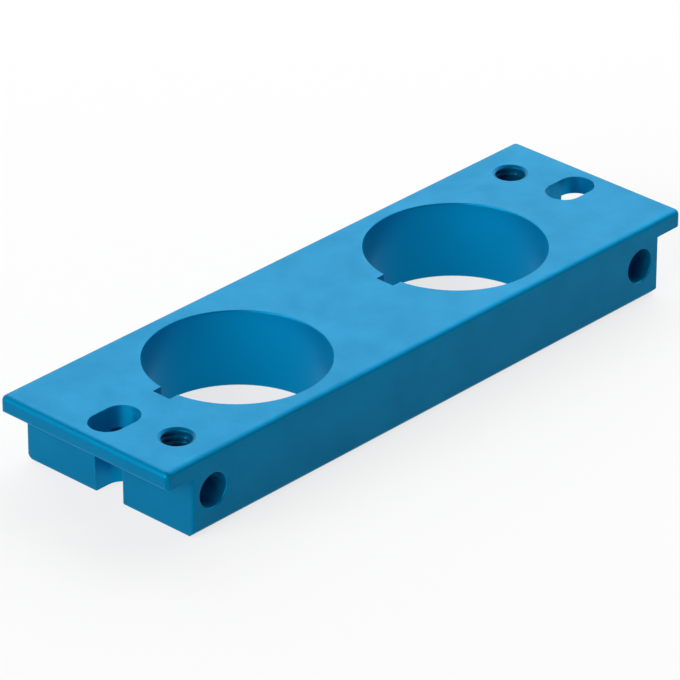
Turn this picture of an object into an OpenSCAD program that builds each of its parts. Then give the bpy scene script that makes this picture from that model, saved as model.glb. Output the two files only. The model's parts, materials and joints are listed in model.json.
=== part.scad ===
// Mounting plate milled from one bar of aluminium and anodised blue.
// Two keyed device bores go through a block whose top runs out into a thin ledge at each end.
// Origin: middle of the plate in plan, on the underside. X runs along the plate, Z points up.

/* [Plate] */
// Length over both ledges
plate_l = 165; // [160:1:220]
// Width, the same for the block and the ledges
plate_w = 50; // [48:0.5:70]
// Height from the underside to the top face
plate_h = 18.7; // [17:0.1:30]
// How far each end ledge stands out past the block
ledge_l = 7.5; // [5:0.5:9]
// Thickness of each end ledge
ledge_t = 4.2; // [3:0.1:6]

/* [Edges] */
// Radius of the top edge all round, and of the upright corners of the ledges
top_round = 1.3; // [0.5:0.1:2]
// Chamfer along both long edges of the underside
foot_chamfer = 1.5; // [0.5:0.1:2.5]
// Radius of the upright edges and of the bottom edge at the block's ends
block_round = 0.7; // [0.2:0.05:1]
// Radius of the lower edge at the end of each ledge
ledge_round = 0.9; // [0.2:0.05:1]

/* [Device bores] */
// Diameter of each device bore
bore_d = 41.5; // [36:0.5:43]
// Distance between the two bore axes
bore_pitch = 70; // [66:0.5:72]
// Middle of the bore pair, measured from the middle of the plate
bore_shift = -0.75; // [-1.5:0.25:1.5]
// Width of the keyway beside each bore
key_w = 5; // [3:0.5:8]
// Depth of the keyway past the bore wall
key_depth = 2.5; // [1.5:0.25:3]
// Break on the rims of the bores
bore_break = 0.2; // [0.1:0.05:0.6]

/* [Fixing slots] */
// Width of each slot, a clearance size for an 8 mm screw
slot_w = 8.4; // [6.4:0.1:9]
// Length of each slot from round end to round end
slot_l = 12.6; // [11:0.1:13]
// Slot middle to the end of the plate
slot_inset = 9.5; // [9:0.25:11]
// Break on the rims of the slots
slot_break = 0.1; // [0.1:0.05:0.5]

/* [Threaded holes] */
// Core diameter under an M8 thread
tap_d = 6.8; // [5:0.1:7]
// Rim diameter of the countersinks
sink_d = 8.3; // [7.2:0.1:10]
// Angle of the countersinks from wall to wall
sink_angle = 120; // [60:5:120]
// Hole axis to the end of the plate
tap_inset = 13; // [12:0.5:14]
// Hole axis to the nearer long side
tap_edge = 10; // [8:0.5:12]

/* [Cross bores] */
// Diameter of the bores that cross the block from side to side
cross_d = 8; // [6:0.1:8.5]
// Bore axis to the end face of the block
cross_inset = 6.25; // [6:0.25:7]
// Bore axis below the top face
cross_drop = 9.35; // [8.5:0.05:10]
// Break on the rims of the cross bores
cross_break = 0.25; // [0.1:0.05:0.5]

/* [Hidden] */
$fn = 96;

// Overrun of every cut past the face that it opens
run = 1;

block_l = plate_l - 2 * ledge_l;
ledge_z = plate_h - ledge_t;
slot_x = plate_l / 2 - slot_inset;
slot_r = slot_w / 2;
slot_half_run = (slot_l - slot_w) / 2;
tap_x = plate_l / 2 - tap_inset;
tap_y = plate_w / 2 - tap_edge;
sink_depth = (sink_d - tap_d) / 2 / tan(sink_angle / 2);
cross_x = block_l / 2 - cross_inset;
cross_z = plate_h - cross_drop;
key_reach = bore_d / 2 + key_depth;

// What a rounding cutter takes off a square corner that points to the upper right
module round_waste(r) {
    difference() {
        translate([-r, -r])
            square([r + run, r + run]);
        translate([-r, -r])
            circle(r = r);
    }
}

// Right half of the end-on outline: block, ledge and their edges, seen along Y
module half_length_outline() {
    difference() {
        polygon([
            [0, 0],
            [block_l / 2, 0],
            [block_l / 2, ledge_z],
            [plate_l / 2, ledge_z],
            [plate_l / 2, plate_h],
            [0, plate_h],
        ]);
        translate([plate_l / 2, plate_h])
            round_waste(top_round);
        translate([plate_l / 2, ledge_z])
            mirror([0, 1])
                round_waste(ledge_round);
        translate([block_l / 2, 0])
            mirror([0, 1])
                round_waste(block_round);
    }
}

// Outline of the plate seen from its long side
module length_outline() {
    half_length_outline();
    mirror([1, 0])
        half_length_outline();
}

// Outline of the plate seen from its end: rounded above, chamfered below
module width_outline() {
    half_w = plate_w / 2;
    difference() {
        polygon([
            [-half_w + foot_chamfer, 0],
            [half_w - foot_chamfer, 0],
            [half_w, foot_chamfer],
            [half_w, plate_h],
            [-half_w, plate_h],
            [-half_w, foot_chamfer],
        ]);
        for (side = [0, 1])
            mirror([side, 0])
                translate([half_w, plate_h])
                    round_waste(top_round);
    }
}

// The milled bar before any hole is made
module blank() {
    intersection() {
        rotate([90, 0, 0])
            translate([0, 0, -plate_w / 2])
                linear_extrude(height = plate_w)
                    length_outline();
        rotate([90, 0, 90])
            translate([0, 0, -plate_l / 2])
                linear_extrude(height = plate_l)
                    width_outline();
    }
}

// What comes off an upright corner of a ledge at the origin, to leave a post with a ball on top
module ball_corner_waste(r, height) {
    difference() {
        translate([-r, -r, -run])
            cube([r + run, r + run, height + 2 * run]);
        translate([-r, -r, -2 * run])
            cylinder(h = height - r + 2 * run, r = r);
        translate([-r, -r, height - r])
            sphere(r = r);
    }
}

// What comes off the upright edges of the block, and off the corners of the ledges
module upright_waste() {
    for (side_x = [0, 1], side_y = [0, 1])
        mirror([side_x, 0, 0])
            mirror([0, side_y, 0]) {
                translate([block_l / 2, plate_w / 2, -run])
                    linear_extrude(height = ledge_z + run)
                        round_waste(block_round);
                translate([plate_l / 2, plate_w / 2, ledge_z])
                    ball_corner_waste(top_round, ledge_t);
            }
}

// Straight bore along Z through a wall, with a flared rim of the given depth at both faces
// The flare is as wide as it is deep times the slope
module broken_bore(d, wall, rim, slope = 1) {
    translate([0, 0, -run])
        cylinder(h = wall + 2 * run, d = d);
    for (z = [0, 1])
        translate([0, 0, z * wall])
            mirror([0, 0, 1 - z])
                translate([0, 0, -rim])
                    cylinder(h = rim + run, r1 = d / 2, r2 = d / 2 + (rim + run) * slope);
}

// Device bore with its keyway on the side towards -X
module device_bore() {
    broken_bore(bore_d, plate_h, bore_break);
    translate([-key_reach, -key_w / 2, -run])
        cube([key_reach, key_w, plate_h + 2 * run]);
}

// Stadium outline with its middle at the origin and its length along X
module slot_outline() {
    translate([-slot_half_run, -slot_r])
        square([2 * slot_half_run, slot_w]);
    for (side = [-1, 1])
        translate([side * slot_half_run, 0])
            circle(r = slot_r);
}

// 45 degree break round the top rim of a slot
module slot_rim() {
    rim_r = slot_r + slot_break + run;
    translate([0, 0, plate_h - slot_break]) {
        for (side = [-1, 1])
            translate([side * slot_half_run, 0, 0])
                cylinder(h = slot_break + run, r1 = slot_r, r2 = rim_r);
        rotate([90, 0, 90])
            translate([0, 0, -slot_half_run])
                linear_extrude(height = 2 * slot_half_run)
                    polygon([
                        [-slot_r, 0],
                        [slot_r, 0],
                        [rim_r, slot_break + run],
                        [-rim_r, slot_break + run],
                    ]);
    }
}

// Slot for a fixing screw: through the ledge, and on down the block as a notch open at its end
module fixing_slot() {
    translate([slot_x, 0, 0]) {
        translate([0, 0, -run])
            linear_extrude(height = plate_h + 2 * run)
                slot_outline();
        slot_rim();
        translate([0, -slot_r, -run])
            cube([plate_l / 2, slot_w, ledge_z + run]);
    }
}

// Tapped hole, countersunk at both faces
module threaded_hole() {
    translate([tap_x, tap_y, 0])
        broken_bore(tap_d, plate_h, sink_depth, tan(sink_angle / 2));
}

// Bore from one long side to the other, near the end of the block
module cross_bore() {
    translate([cross_x, plate_w / 2, cross_z])
        rotate([90, 0, 0])
            broken_bore(cross_d, plate_w, cross_break);
}

module mounting_plate() {
    color("steelblue")
        difference() {
            blank();
            upright_waste();
            for (side = [-1, 1])
                translate([bore_shift + side * bore_pitch / 2, 0, 0])
                    device_bore();
            for (turn = [0, 180])
                rotate([0, 0, turn]) {
                    fixing_slot();
                    threaded_hole();
                    cross_bore();
                }
        }
}

mounting_plate();
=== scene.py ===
import json
import math
import bmesh
import bpy
import numpy as np
from mathutils import Euler, Matrix, Vector


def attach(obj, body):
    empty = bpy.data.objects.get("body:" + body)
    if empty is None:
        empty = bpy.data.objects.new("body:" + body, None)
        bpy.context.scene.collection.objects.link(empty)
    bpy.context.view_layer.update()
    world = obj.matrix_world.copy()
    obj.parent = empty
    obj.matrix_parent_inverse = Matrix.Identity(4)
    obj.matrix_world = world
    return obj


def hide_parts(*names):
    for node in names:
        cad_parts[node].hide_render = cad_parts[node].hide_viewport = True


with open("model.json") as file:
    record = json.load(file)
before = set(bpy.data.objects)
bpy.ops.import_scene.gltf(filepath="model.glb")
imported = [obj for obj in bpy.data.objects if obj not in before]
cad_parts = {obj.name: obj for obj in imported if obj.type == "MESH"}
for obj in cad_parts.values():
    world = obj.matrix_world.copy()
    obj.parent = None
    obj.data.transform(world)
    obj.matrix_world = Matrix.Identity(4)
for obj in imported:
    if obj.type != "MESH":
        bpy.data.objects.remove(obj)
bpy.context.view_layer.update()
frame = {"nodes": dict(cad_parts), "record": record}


# The plate: one bar of aluminium, milled to its T-shaped outline, then bored, slotted and cross-drilled.
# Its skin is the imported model's. Blasting has left a small round on every edge that it could reach.
CORNER = math.radians(30)       # edges sharper than this are real ones; the facets of a bore meet at less
FLAT = math.radians(0.6)        # triangles that meet at less than this are parts of one face
EDGE_ROUND = 0.0001             # metres, like every size here
# Ranges of |x|, |y| and z whose edges stay sharp: inside the crossing bores, or too short to round.
SHELTERED = (
    ((0.0635, 0.0740), (0.0, 0.0238), (0.0008, 0.0178)),     # where cross bore, notch and tapped hole meet
    ((0.0730, 0.0815), (0.0, 0.0047), (0.0134, 0.0152)),     # the slot's lower rim under the ledge
    ((0.0660, 0.0800), (0.0, 0.0047), (0.0185, 0.0188)),     # the slot's upper rim, which is broken already
    ((0.0742, 0.0752), (0.0040, 0.0252), (0.0144, 0.0146)),  # the root between ledge and block, milled sharp
)


def is_sheltered(edge):
    """True where the edge's middle lies in one of the ranges above."""
    middle = (edge.verts[0].co + edge.verts[1].co) / 2
    place = abs(middle.x), abs(middle.y), middle.z
    return any(all(low <= value <= high for value, (low, high) in zip(place, ranges)) for ranges in SHELTERED)


skin = bmesh.new()
skin.from_mesh(frame["nodes"]["mounting_plate"].data)
bmesh.ops.remove_doubles(skin, verts=skin.verts, dist=1e-6)
bmesh.ops.dissolve_limit(skin, angle_limit=FLAT, verts=skin.verts, edges=skin.edges)
rounded = [edge for edge in skin.edges if edge.calc_face_angle(0) > CORNER and not is_sheltered(edge)]
bmesh.ops.bevel(skin, geom=rounded, offset=EDGE_ROUND, offset_type="OFFSET", segments=2, profile=0.5,
                affect="EDGES", clamp_overlap=False, loop_slide=True)
plate_mesh = bpy.data.meshes.new("plate")
skin.to_mesh(plate_mesh)
skin.free()
plate = bpy.data.objects.new("plate", plate_mesh)
bpy.context.scene.collection.objects.link(plate)

# The M8 threads in the two tapped holes, 1.25 mm a turn.
# Each is cut as on the real part: the form of a tap is taken out of the plate all the way through.
THREAD_PITCH = 0.00125
THREAD_OUTER_R = 0.0040
TAP_CORE_R = 0.0033             # just inside the drilled wall, so that only the ridges cut
RUN_OUT = 0.0006                # over this length the thread grows from nothing at both ends
SINK_MARGIN = 0.0001            # the thread begins this far below the countersink
TAP_STEPS = 72


def tap_form(name, axis_x, axis_y, low, high):
    """Each row of points is one helix: z = row z + pitch * angle / full turn, so the row one pitch higher carries on
    where it ends. The rows go core, core, crest, crest, with 30 degree flanks between. The crest's height above the
    core grows from nothing at z = low and z = high to its full size a run-out further in."""
    turns = math.ceil((high + low) / THREAD_PITCH) + 3
    crest = THREAD_PITCH / 8
    flank = (THREAD_OUTER_R - TAP_CORE_R) * math.tan(math.radians(30))
    row_z = np.array([0, THREAD_PITCH - crest - 2 * flank, THREAD_PITCH - crest - flank, THREAD_PITCH - flank])
    row_z = (row_z[None, :] + THREAD_PITCH * np.arange(turns)[:, None]).ravel()
    row_r = np.tile([TAP_CORE_R, TAP_CORE_R, THREAD_OUTER_R, THREAD_OUTER_R], turns)
    angle = np.arange(TAP_STEPS) * 2 * math.pi / TAP_STEPS
    z = row_z[:, None] + THREAD_PITCH * (angle / (2 * math.pi) - 1)
    grown = np.clip(np.minimum(z - low, high - z) / RUN_OUT, 0, 1)
    radius = TAP_CORE_R + (row_r[:, None] - TAP_CORE_R) * grown
    x = axis_x + radius * np.cos(angle)
    y = axis_y + radius * np.sin(angle)
    index = np.arange(row_z.size * TAP_STEPS).reshape(row_z.size, TAP_STEPS)
    next_step = np.hstack([index[:, 1:], np.vstack([index[4:, :1], np.full((4, 1), -1)])])
    quads = np.stack([index[:-1], next_step[:-1], next_step[1:], index[1:]], axis=-1).reshape(-1, 4)
    quads = quads[(quads >= 0).all(axis=1)]
    mesh = bpy.data.meshes.new(name)
    mesh.from_pydata(np.stack([x, y, z], axis=-1).reshape(-1, 3).tolist(), [], quads.tolist())
    form = bmesh.new()
    form.from_mesh(mesh)
    bmesh.ops.delete(form, geom=[v for v in form.verts if not v.link_faces], context="VERTS")
    bmesh.ops.holes_fill(form, edges=[e for e in form.edges if e.is_boundary], sides=0)
    bmesh.ops.triangulate(form, faces=[f for f in form.faces if len(f.verts) > 4])
    bmesh.ops.recalc_face_normals(form, faces=form.faces)
    form.to_mesh(mesh)
    form.free()
    cutter = bpy.data.objects.new(name, mesh)
    bpy.context.scene.collection.objects.link(cutter)
    return cutter


openings = {opening["name"]: np.array(opening["box_m"]) for opening in frame["record"]["physics"]["openings"]}
mounts = {mount["name"]: mount for mount in frame["record"]["mounts"]}
top_z = mounts["top_face"]["pos_m"][2]
sink_floor = mounts["tapped_holes"]["pos_m"][2] - SINK_MARGIN
cutters = []
for side in ("left", "right"):
    hole_x, hole_y, _ = openings[side + "_tapped_hole"].mean(axis=0)
    cutters.append(tap_form(side + "_tap", hole_x, hole_y, top_z - sink_floor, sink_floor))
    cut = plate.modifiers.new(side + "_thread", "BOOLEAN")
    cut.operation, cut.solver, cut.object = "DIFFERENCE", "EXACT", cutters[-1]
threaded = bpy.data.meshes.new_from_object(plate.evaluated_get(bpy.context.evaluated_depsgraph_get()))
plate.modifiers.clear()
plate.data = threaded
for cutter in cutters:
    bpy.data.objects.remove(cutter)
bpy.data.meshes.remove(plate_mesh)

# Curved walls shade as curves, and the flat faces stay flat right up to their rounded edges.
SHARP = math.radians(28)        # just under the 30 degrees at which a countersink meets the top
threaded.polygons.foreach_set("use_smooth", np.ones(len(threaded.polygons), bool))
threaded.set_sharp_from_angle(angle=SHARP)
flat = plate.modifiers.new("flat_faces", "WEIGHTED_NORMAL")
flat.keep_sharp = True
flat.weight = 80
shaded = bpy.data.meshes.new_from_object(plate.evaluated_get(bpy.context.evaluated_depsgraph_get()))
plate.modifiers.clear()
plate.data = shaded
bpy.data.meshes.remove(threaded)


def read(items, field, kind=float, width=3):
    """The field of all items at once, one row each."""
    values = np.empty(len(items) * width, kind)
    items.foreach_get(field, values)
    return values.reshape(-1, width)


def from_upright_axis(points, axis_x, half_run=0.0):
    """Offsets from an axis along Z, or from the nearest of the axes along a slot: (x - clip(x), y, 0)."""
    along = points[:, 0] - axis_x
    return np.stack([along - np.clip(along, -half_run, half_run), points[:, 1], 0 * along], axis=1)


def from_cross_axis(points, axis_x, axis_z):
    """Offsets from an axis along Y: (x - axis x, 0, z - axis z)."""
    return np.stack([points[:, 0] - axis_x, 0 * points[:, 1], points[:, 2] - axis_z], axis=1)


# The walls of the holes get the normals of true cylinders: minus the offset from the axis, made one long.
# A face belongs to a wall if it lies at the wall's radius and faces its axis.
FACES_AXIS = 0.985              # cosine of the 10 degrees by which a wall's face may turn off its axis
CHORD_SAG = 0.00005             # how far the middle of a face may lie inside the true wall
WALL_SLACK = 0.00002            # and how far outside it
bore_r, cross_r, slot_r = (mounts[name]["dims"][key] / 1000 for name, key in (
    ("left_device_bore", "r_mm"), ("cross_bores", "hole_r_mm"), ("fixing_slots", "hole_r_mm")))
left_x, right_x = (mounts[side + "_device_bore"]["pos_m"][0] for side in ("left", "right"))
cross_x, cross_z = mounts["cross_bores"]["dims"]["spacing_x_mm"] / 2000, mounts["cross_bores"]["pos_m"][2]
slot_x = mounts["fixing_slots"]["dims"]["spacing_x_mm"] / 2000
half_run = mounts["fixing_slots"]["dims"]["slot_length_mm"] / 2000 - slot_r
walls = [(from_upright_axis, (axis_x,), bore_r) for axis_x in (left_x, right_x)]
walls += [(from_upright_axis, (axis_x, half_run), slot_r) for axis_x in (-slot_x, slot_x)]
walls += [(from_cross_axis, (axis_x, cross_z), cross_r) for axis_x in (-cross_x, cross_x)]
centres, facings = read(shaded.polygons, "center"), read(shaded.polygons, "normal")
corners = read(shaded.vertices, "co")[read(shaded.loops, "vertex_index", np.int32, 1)[:, 0]]
face_of = np.repeat(np.arange(len(shaded.polygons)), read(shaded.polygons, "loop_total", np.int32, 1)[:, 0])
normals = read(shaded.corner_normals, "vector")
for offset_of, axis, radius in walls:
    offset = offset_of(centres, *axis)
    reach = np.linalg.norm(offset, axis=1)
    turned_in = -np.sum(facings * offset, axis=1) > FACES_AXIS * reach
    on_wall = (turned_in & (reach > radius - CHORD_SAG) & (reach < radius + WALL_SLACK))[face_of]
    inward = -offset_of(corners, *axis)
    normals[on_wall] = (inward / np.linalg.norm(inward, axis=1, keepdims=True).clip(1e-9))[on_wall]
shaded.normals_split_custom_set(normals.tolist())

# The finish: bead-blasted, dyed blue and sealed, so a matt metallic blue with a fine grain.
# The dye is uneven by a few per cent, with fine lighter flecks. The rounded edges are painted a little lighter, as a
# painted highlight.
DYE_DEEP, DYE_PALE = (0.0008, 0.163, 0.335, 1), (0.0008, 0.173, 0.350, 1)
DYE_FLECK = (0.012, 0.230, 0.400, 1)
# The hole walls' lighter colour, painted light in the holes
PAINTED_HOLE_LIGHT = (0.0008, 0.250, 0.500, 1)
# The rounds' lighter colour, a painted highlight
PAINTED_ROUND_HIGHLIGHT = (0.0008, 0.255, 0.510, 1)
# The darker colour of the threads and countersinks, painted shade
PAINTED_HOLE_SHADE = (0.0008, 0.090, 0.210, 1)
DYE_WORN = (0.06, 0.36, 0.55, 1)
finish = bpy.data.materials.new("blue_anodised_aluminium")
finish.use_nodes = True
nodes, links = finish.node_tree.nodes, finish.node_tree.links
shader = nodes["Principled BSDF"]
shader.inputs["Metallic"].default_value = 0.55
shader.inputs["Specular IOR Level"].default_value = 0.0
shader.inputs["Specular Tint"].default_value = (1, 1, 0.8, 1)
place = nodes.new("ShaderNodeTexCoord")


def noise(scale, detail, roughness):
    """A cloudy value from 0 to 1 that is fixed to the plate."""
    texture = nodes.new("ShaderNodeTexNoise")
    texture.inputs["Scale"].default_value = scale
    texture.inputs["Detail"].default_value = detail
    texture.inputs["Roughness"].default_value = roughness
    links.new(place.outputs["Object"], texture.inputs["Vector"])
    return texture.outputs["Fac"]


def spread(value, low, high, out_low, out_high):
    """out_low up to low, out_high from high on, and straight between them."""
    ramp = nodes.new("ShaderNodeMapRange")
    ramp.inputs["From Min"].default_value, ramp.inputs["From Max"].default_value = low, high
    ramp.inputs["To Min"].default_value, ramp.inputs["To Max"].default_value = out_low, out_high
    links.new(value, ramp.inputs["Value"])
    return ramp.outputs["Result"]


def blend(amount, first, second):
    """The first colour turned into the second by the amount."""
    mix = nodes.new("ShaderNodeMix")
    mix.data_type = "RGBA"
    for socket, source in ((mix.inputs["Factor"], amount), (mix.inputs["A"], first), (mix.inputs["B"], second)):
        if isinstance(source, tuple):
            socket.default_value = source
        else:
            links.new(source, socket)
    return mix.outputs["Result"]


def calculate(operation, first, second=0.0):
    """One sum of two values, where each is a socket or a number."""
    sums = nodes.new("ShaderNodeMath")
    sums.operation = operation
    for socket, source in zip(sums.inputs, (first, second)):
        if isinstance(source, float):
            socket.default_value = source
        else:
            links.new(source, socket)
    return sums.outputs["Value"]


cloud = noise(130, 4, 0.6)
fleck = noise(2600, 2, 0.6)
base_colour = blend(spread(cloud, 0.35, 0.65, 0, 1), DYE_DEEP, DYE_PALE)
base_colour = blend(spread(fleck, 0.55, 0.80, 0, 0.35), base_colour, DYE_FLECK)

# Masks of the holes, from the distances to their axes. A half turn of the plate brings one end's slot, tapped hole
# and cross bore onto the other's, so one end's places serve for both.
RIM_TOP = 0.00015               # the slot's mask ends this far below the top, where its rim is broken
MASK_FULL, MASK_END = 0.00005, 0.00012
point = nodes.new("ShaderNodeSeparateXYZ")
links.new(place.outputs["Object"], point.inputs["Vector"])
out_x = calculate("ABSOLUTE", point.outputs["X"])
turned_y = calculate("MULTIPLY", point.outputs["Y"], calculate("SIGN", point.outputs["X"]))


def inside(first, second, radius):
    """1 where hypot(first, second) is up to the radius and a hair more, then a short fade to 0."""
    offset = nodes.new("ShaderNodeCombineXYZ")
    links.new(first, offset.inputs["X"])
    links.new(second, offset.inputs["Y"])
    distance = nodes.new("ShaderNodeVectorMath")
    distance.operation = "LENGTH"
    links.new(offset.outputs["Vector"], distance.inputs[0])
    return spread(distance.outputs["Value"], radius + MASK_FULL, radius + MASK_END, 1, 0)


from_middle = calculate("ABSOLUTE", calculate("SUBTRACT", point.outputs["X"], (left_x + right_x) / 2))
in_bore = inside(calculate("SUBTRACT", from_middle, (right_x - left_x) / 2), point.outputs["Y"], bore_r)
in_cross_bore = inside(calculate("SUBTRACT", out_x, cross_x), calculate("SUBTRACT", point.outputs["Z"], cross_z),
                       cross_r)
along = calculate("ABSOLUTE", calculate("SUBTRACT", out_x, slot_x))
in_slot = inside(calculate("MAXIMUM", calculate("SUBTRACT", along, half_run), 0.0), point.outputs["Y"], slot_r)
in_slot = calculate("MULTIPLY", in_slot, calculate("LESS_THAN", point.outputs["Z"], top_z - RIM_TOP))
hole_x, hole_y, _ = openings["right_tapped_hole"].mean(axis=0)
sink_r = THREAD_OUTER_R + 0.0002
near_tap = inside(calculate("SUBTRACT", out_x, hole_x), calculate("SUBTRACT", turned_y, hole_y), sink_r)
in_tapped = calculate("MULTIPLY", near_tap, calculate("LESS_THAN", point.outputs["Z"], sink_floor))
in_tapped = calculate("MULTIPLY", in_tapped, calculate("GREATER_THAN", point.outputs["Z"], top_z - sink_floor))

# The holes are machined after the blasting, so their walls are smoother; their walls are also painted lighter, which
# is painted light in the holes.
# The rounds between the flat faces are painted lighter, a painted highlight. The threads and countersinks are
# painted darker, which is painted shade.
machined_and_lit_walls = calculate("MAXIMUM", in_bore, calculate("MAXIMUM", in_cross_bore, in_slot))
base_colour = blend(machined_and_lit_walls, base_colour, PAINTED_HOLE_LIGHT)
facing = nodes.new("ShaderNodeSeparateXYZ")
links.new(place.outputs["Normal"], facing.inputs["Vector"])
upward = calculate("ABSOLUTE", facing.outputs["Z"])
between = calculate("MULTIPLY", spread(upward, 0.05, 0.25, 0, 1), spread(upward, 0.93, 0.985, 1, 0))
base_colour = blend(calculate("MULTIPLY", between, 0.35), base_colour, PAINTED_ROUND_HIGHLIGHT)
sink_shade = calculate("MULTIPLY", calculate("MULTIPLY", between, near_tap), 0.65)
base_colour = blend(calculate("MAXIMUM", sink_shade, calculate("MULTIPLY", in_tapped, 0.5)), base_colour, PAINTED_HOLE_SHADE)

# Handling has worn the edges in patches: there, a normal averaged over the neighbourhood leaves the true one.
edge_normal = nodes.new("ShaderNodeBevel")
edge_normal.samples = 4
edge_normal.inputs["Radius"].default_value = 0.00025
geometry = nodes.new("ShaderNodeNewGeometry")
agree = nodes.new("ShaderNodeVectorMath")
agree.operation = "DOT_PRODUCT"
links.new(edge_normal.outputs["Normal"], agree.inputs[0])
links.new(geometry.outputs["Normal"], agree.inputs[1])
worn = calculate("MULTIPLY", spread(agree.outputs["Value"], 0.995, 0.90, 0, 0.30),
                 spread(noise(500, 3, 0.6), 0.35, 0.65, 0.3, 1.0))
base_colour = blend(worn, base_colour, DYE_WORN)
links.new(base_colour, shader.inputs["Base Color"])
matt = spread(cloud, 0.3, 0.7, 0.50, 0.42)
links.new(calculate("SUBTRACT", matt, calculate("MULTIPLY", machined_and_lit_walls, 0.10)), shader.inputs["Roughness"])

grain = nodes.new("ShaderNodeBump")
grain.inputs["Strength"].default_value = 0.25
grain.inputs["Distance"].default_value = 0.00002
links.new(noise(5200, 3, 0.65), grain.inputs["Height"])
links.new(grain.outputs["Normal"], shader.inputs["Normal"])
shaded.materials.clear()
shaded.materials.append(finish)

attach(plate, "root")
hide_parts("mounting_plate")


# The studio floor: one plain pale sheet, so wide that its edge is never in view.
# It is matt card that glows a little, as on a light table, so the plate's shadow on it stays faint.
FLOOR_HALF = 6.0
FLOOR_Z = -0.0001               # a hair below the plate, so that the two faces never lie in one plane
FLOOR_GLOW = 0.75
floor_mesh = bpy.data.meshes.new("floor")
floor_corners = [(x * FLOOR_HALF, y * FLOOR_HALF, FLOOR_Z) for x, y in ((-1, -1), (1, -1), (1, 1), (-1, 1))]
floor_mesh.from_pydata(floor_corners, [], [(0, 1, 2, 3)])
floor = bpy.data.objects.new("floor", floor_mesh)
bpy.context.scene.collection.objects.link(floor)
card = bpy.data.materials.new("pale_card")
card.use_nodes = True
nodes, links = card.node_tree.nodes, card.node_tree.links
matt_card = nodes["Principled BSDF"]
matt_card.inputs["Base Color"].default_value = (0.76, 0.76, 0.76, 1)
matt_card.inputs["Roughness"].default_value = 0.9
matt_card.inputs["Specular IOR Level"].default_value = 0.1
glow = nodes.new("ShaderNodeEmission")
ray = nodes.new("ShaderNodeLightPath")
seen = calculate("ADD", ray.outputs["Is Camera Ray"], ray.outputs["Is Glossy Ray"])
seen = calculate("ADD", seen, ray.outputs["Is Transmission Ray"])
share = calculate("MULTIPLY", seen, FLOOR_GLOW)
share.node.use_clamp = True
surface = nodes.new("ShaderNodeMixShader")
links.new(share, surface.inputs["Fac"])
links.new(matt_card.outputs["BSDF"], surface.inputs[1])
links.new(glow.outputs["Emission"], surface.inputs[2])
links.new(surface.outputs["Shader"], nodes["Material Output"].inputs["Surface"])
floor_mesh.materials.append(card)

# The light: large softboxes behind the plate and at its left and right, so that its top shines and its near
# long side stays deep. A faint even light from all round fills the shadows.
studio = bpy.data.worlds.new("studio")
bpy.context.scene.world = studio
studio.use_nodes = True
studio.node_tree.nodes["Background"].inputs["Color"].default_value = (1, 1, 1, 1)
studio.node_tree.nodes["Background"].inputs["Strength"].default_value = 0.03


def softbox(name, azimuth, elevation, distance, width, height, radiance):
    """A rectangular lamp that faces the plate's middle; radiance = power / (pi * area).
    Azimuth 0 lies towards -Y and 90 towards +X."""
    lamp = bpy.data.lights.new(name, "AREA")
    lamp.shape = "RECTANGLE"
    lamp.size, lamp.size_y = width, height
    lamp.energy = radiance * math.pi * width * height
    holder = bpy.data.objects.new(name, lamp)
    around, up = math.radians(azimuth), math.radians(elevation)
    towards = Vector((math.sin(around) * math.cos(up), -math.cos(around) * math.cos(up), math.sin(up)))
    holder.location = towards * distance
    holder.rotation_euler = towards.to_track_quat("Z", "Y").to_euler()
    bpy.context.scene.collection.objects.link(holder)


softbox("back_softbox", 133, 34, 1.6, 2.4, 1.5, 3.2)
softbox("left_softbox", 222, 40, 1.6, 1.8, 1.4, 0.2)
softbox("side_softbox", 266, 26, 1.6, 1.6, 1.1, 4.8)
softbox("right_softbox", 74, 36, 1.6, 1.6, 1.4, 1.9)

# The camera: a long lens at the photograph's viewpoint, solved from its outlines, bores, slots and tapped holes.
# It looks down by 28.7 degrees on the near left corner.
lens = bpy.data.cameras.new("camera")
lens.sensor_width = 36
lens.lens = 299.887
camera = bpy.data.objects.new("camera", lens)
azimuth, elevation, roll = math.radians(-46.892), math.radians(28.702), math.radians(0.082)
camera.location = (-0.799490, -0.745176, 0.606848)
aim = Euler((math.pi / 2 - elevation, 0, azimuth)).to_matrix() @ Matrix.Rotation(roll, 3, "Z")
camera.rotation_euler = aim.to_euler()
bpy.context.scene.collection.objects.link(camera)
bpy.context.scene.camera = camera
bpy.context.scene.view_settings.view_transform = "Standard"
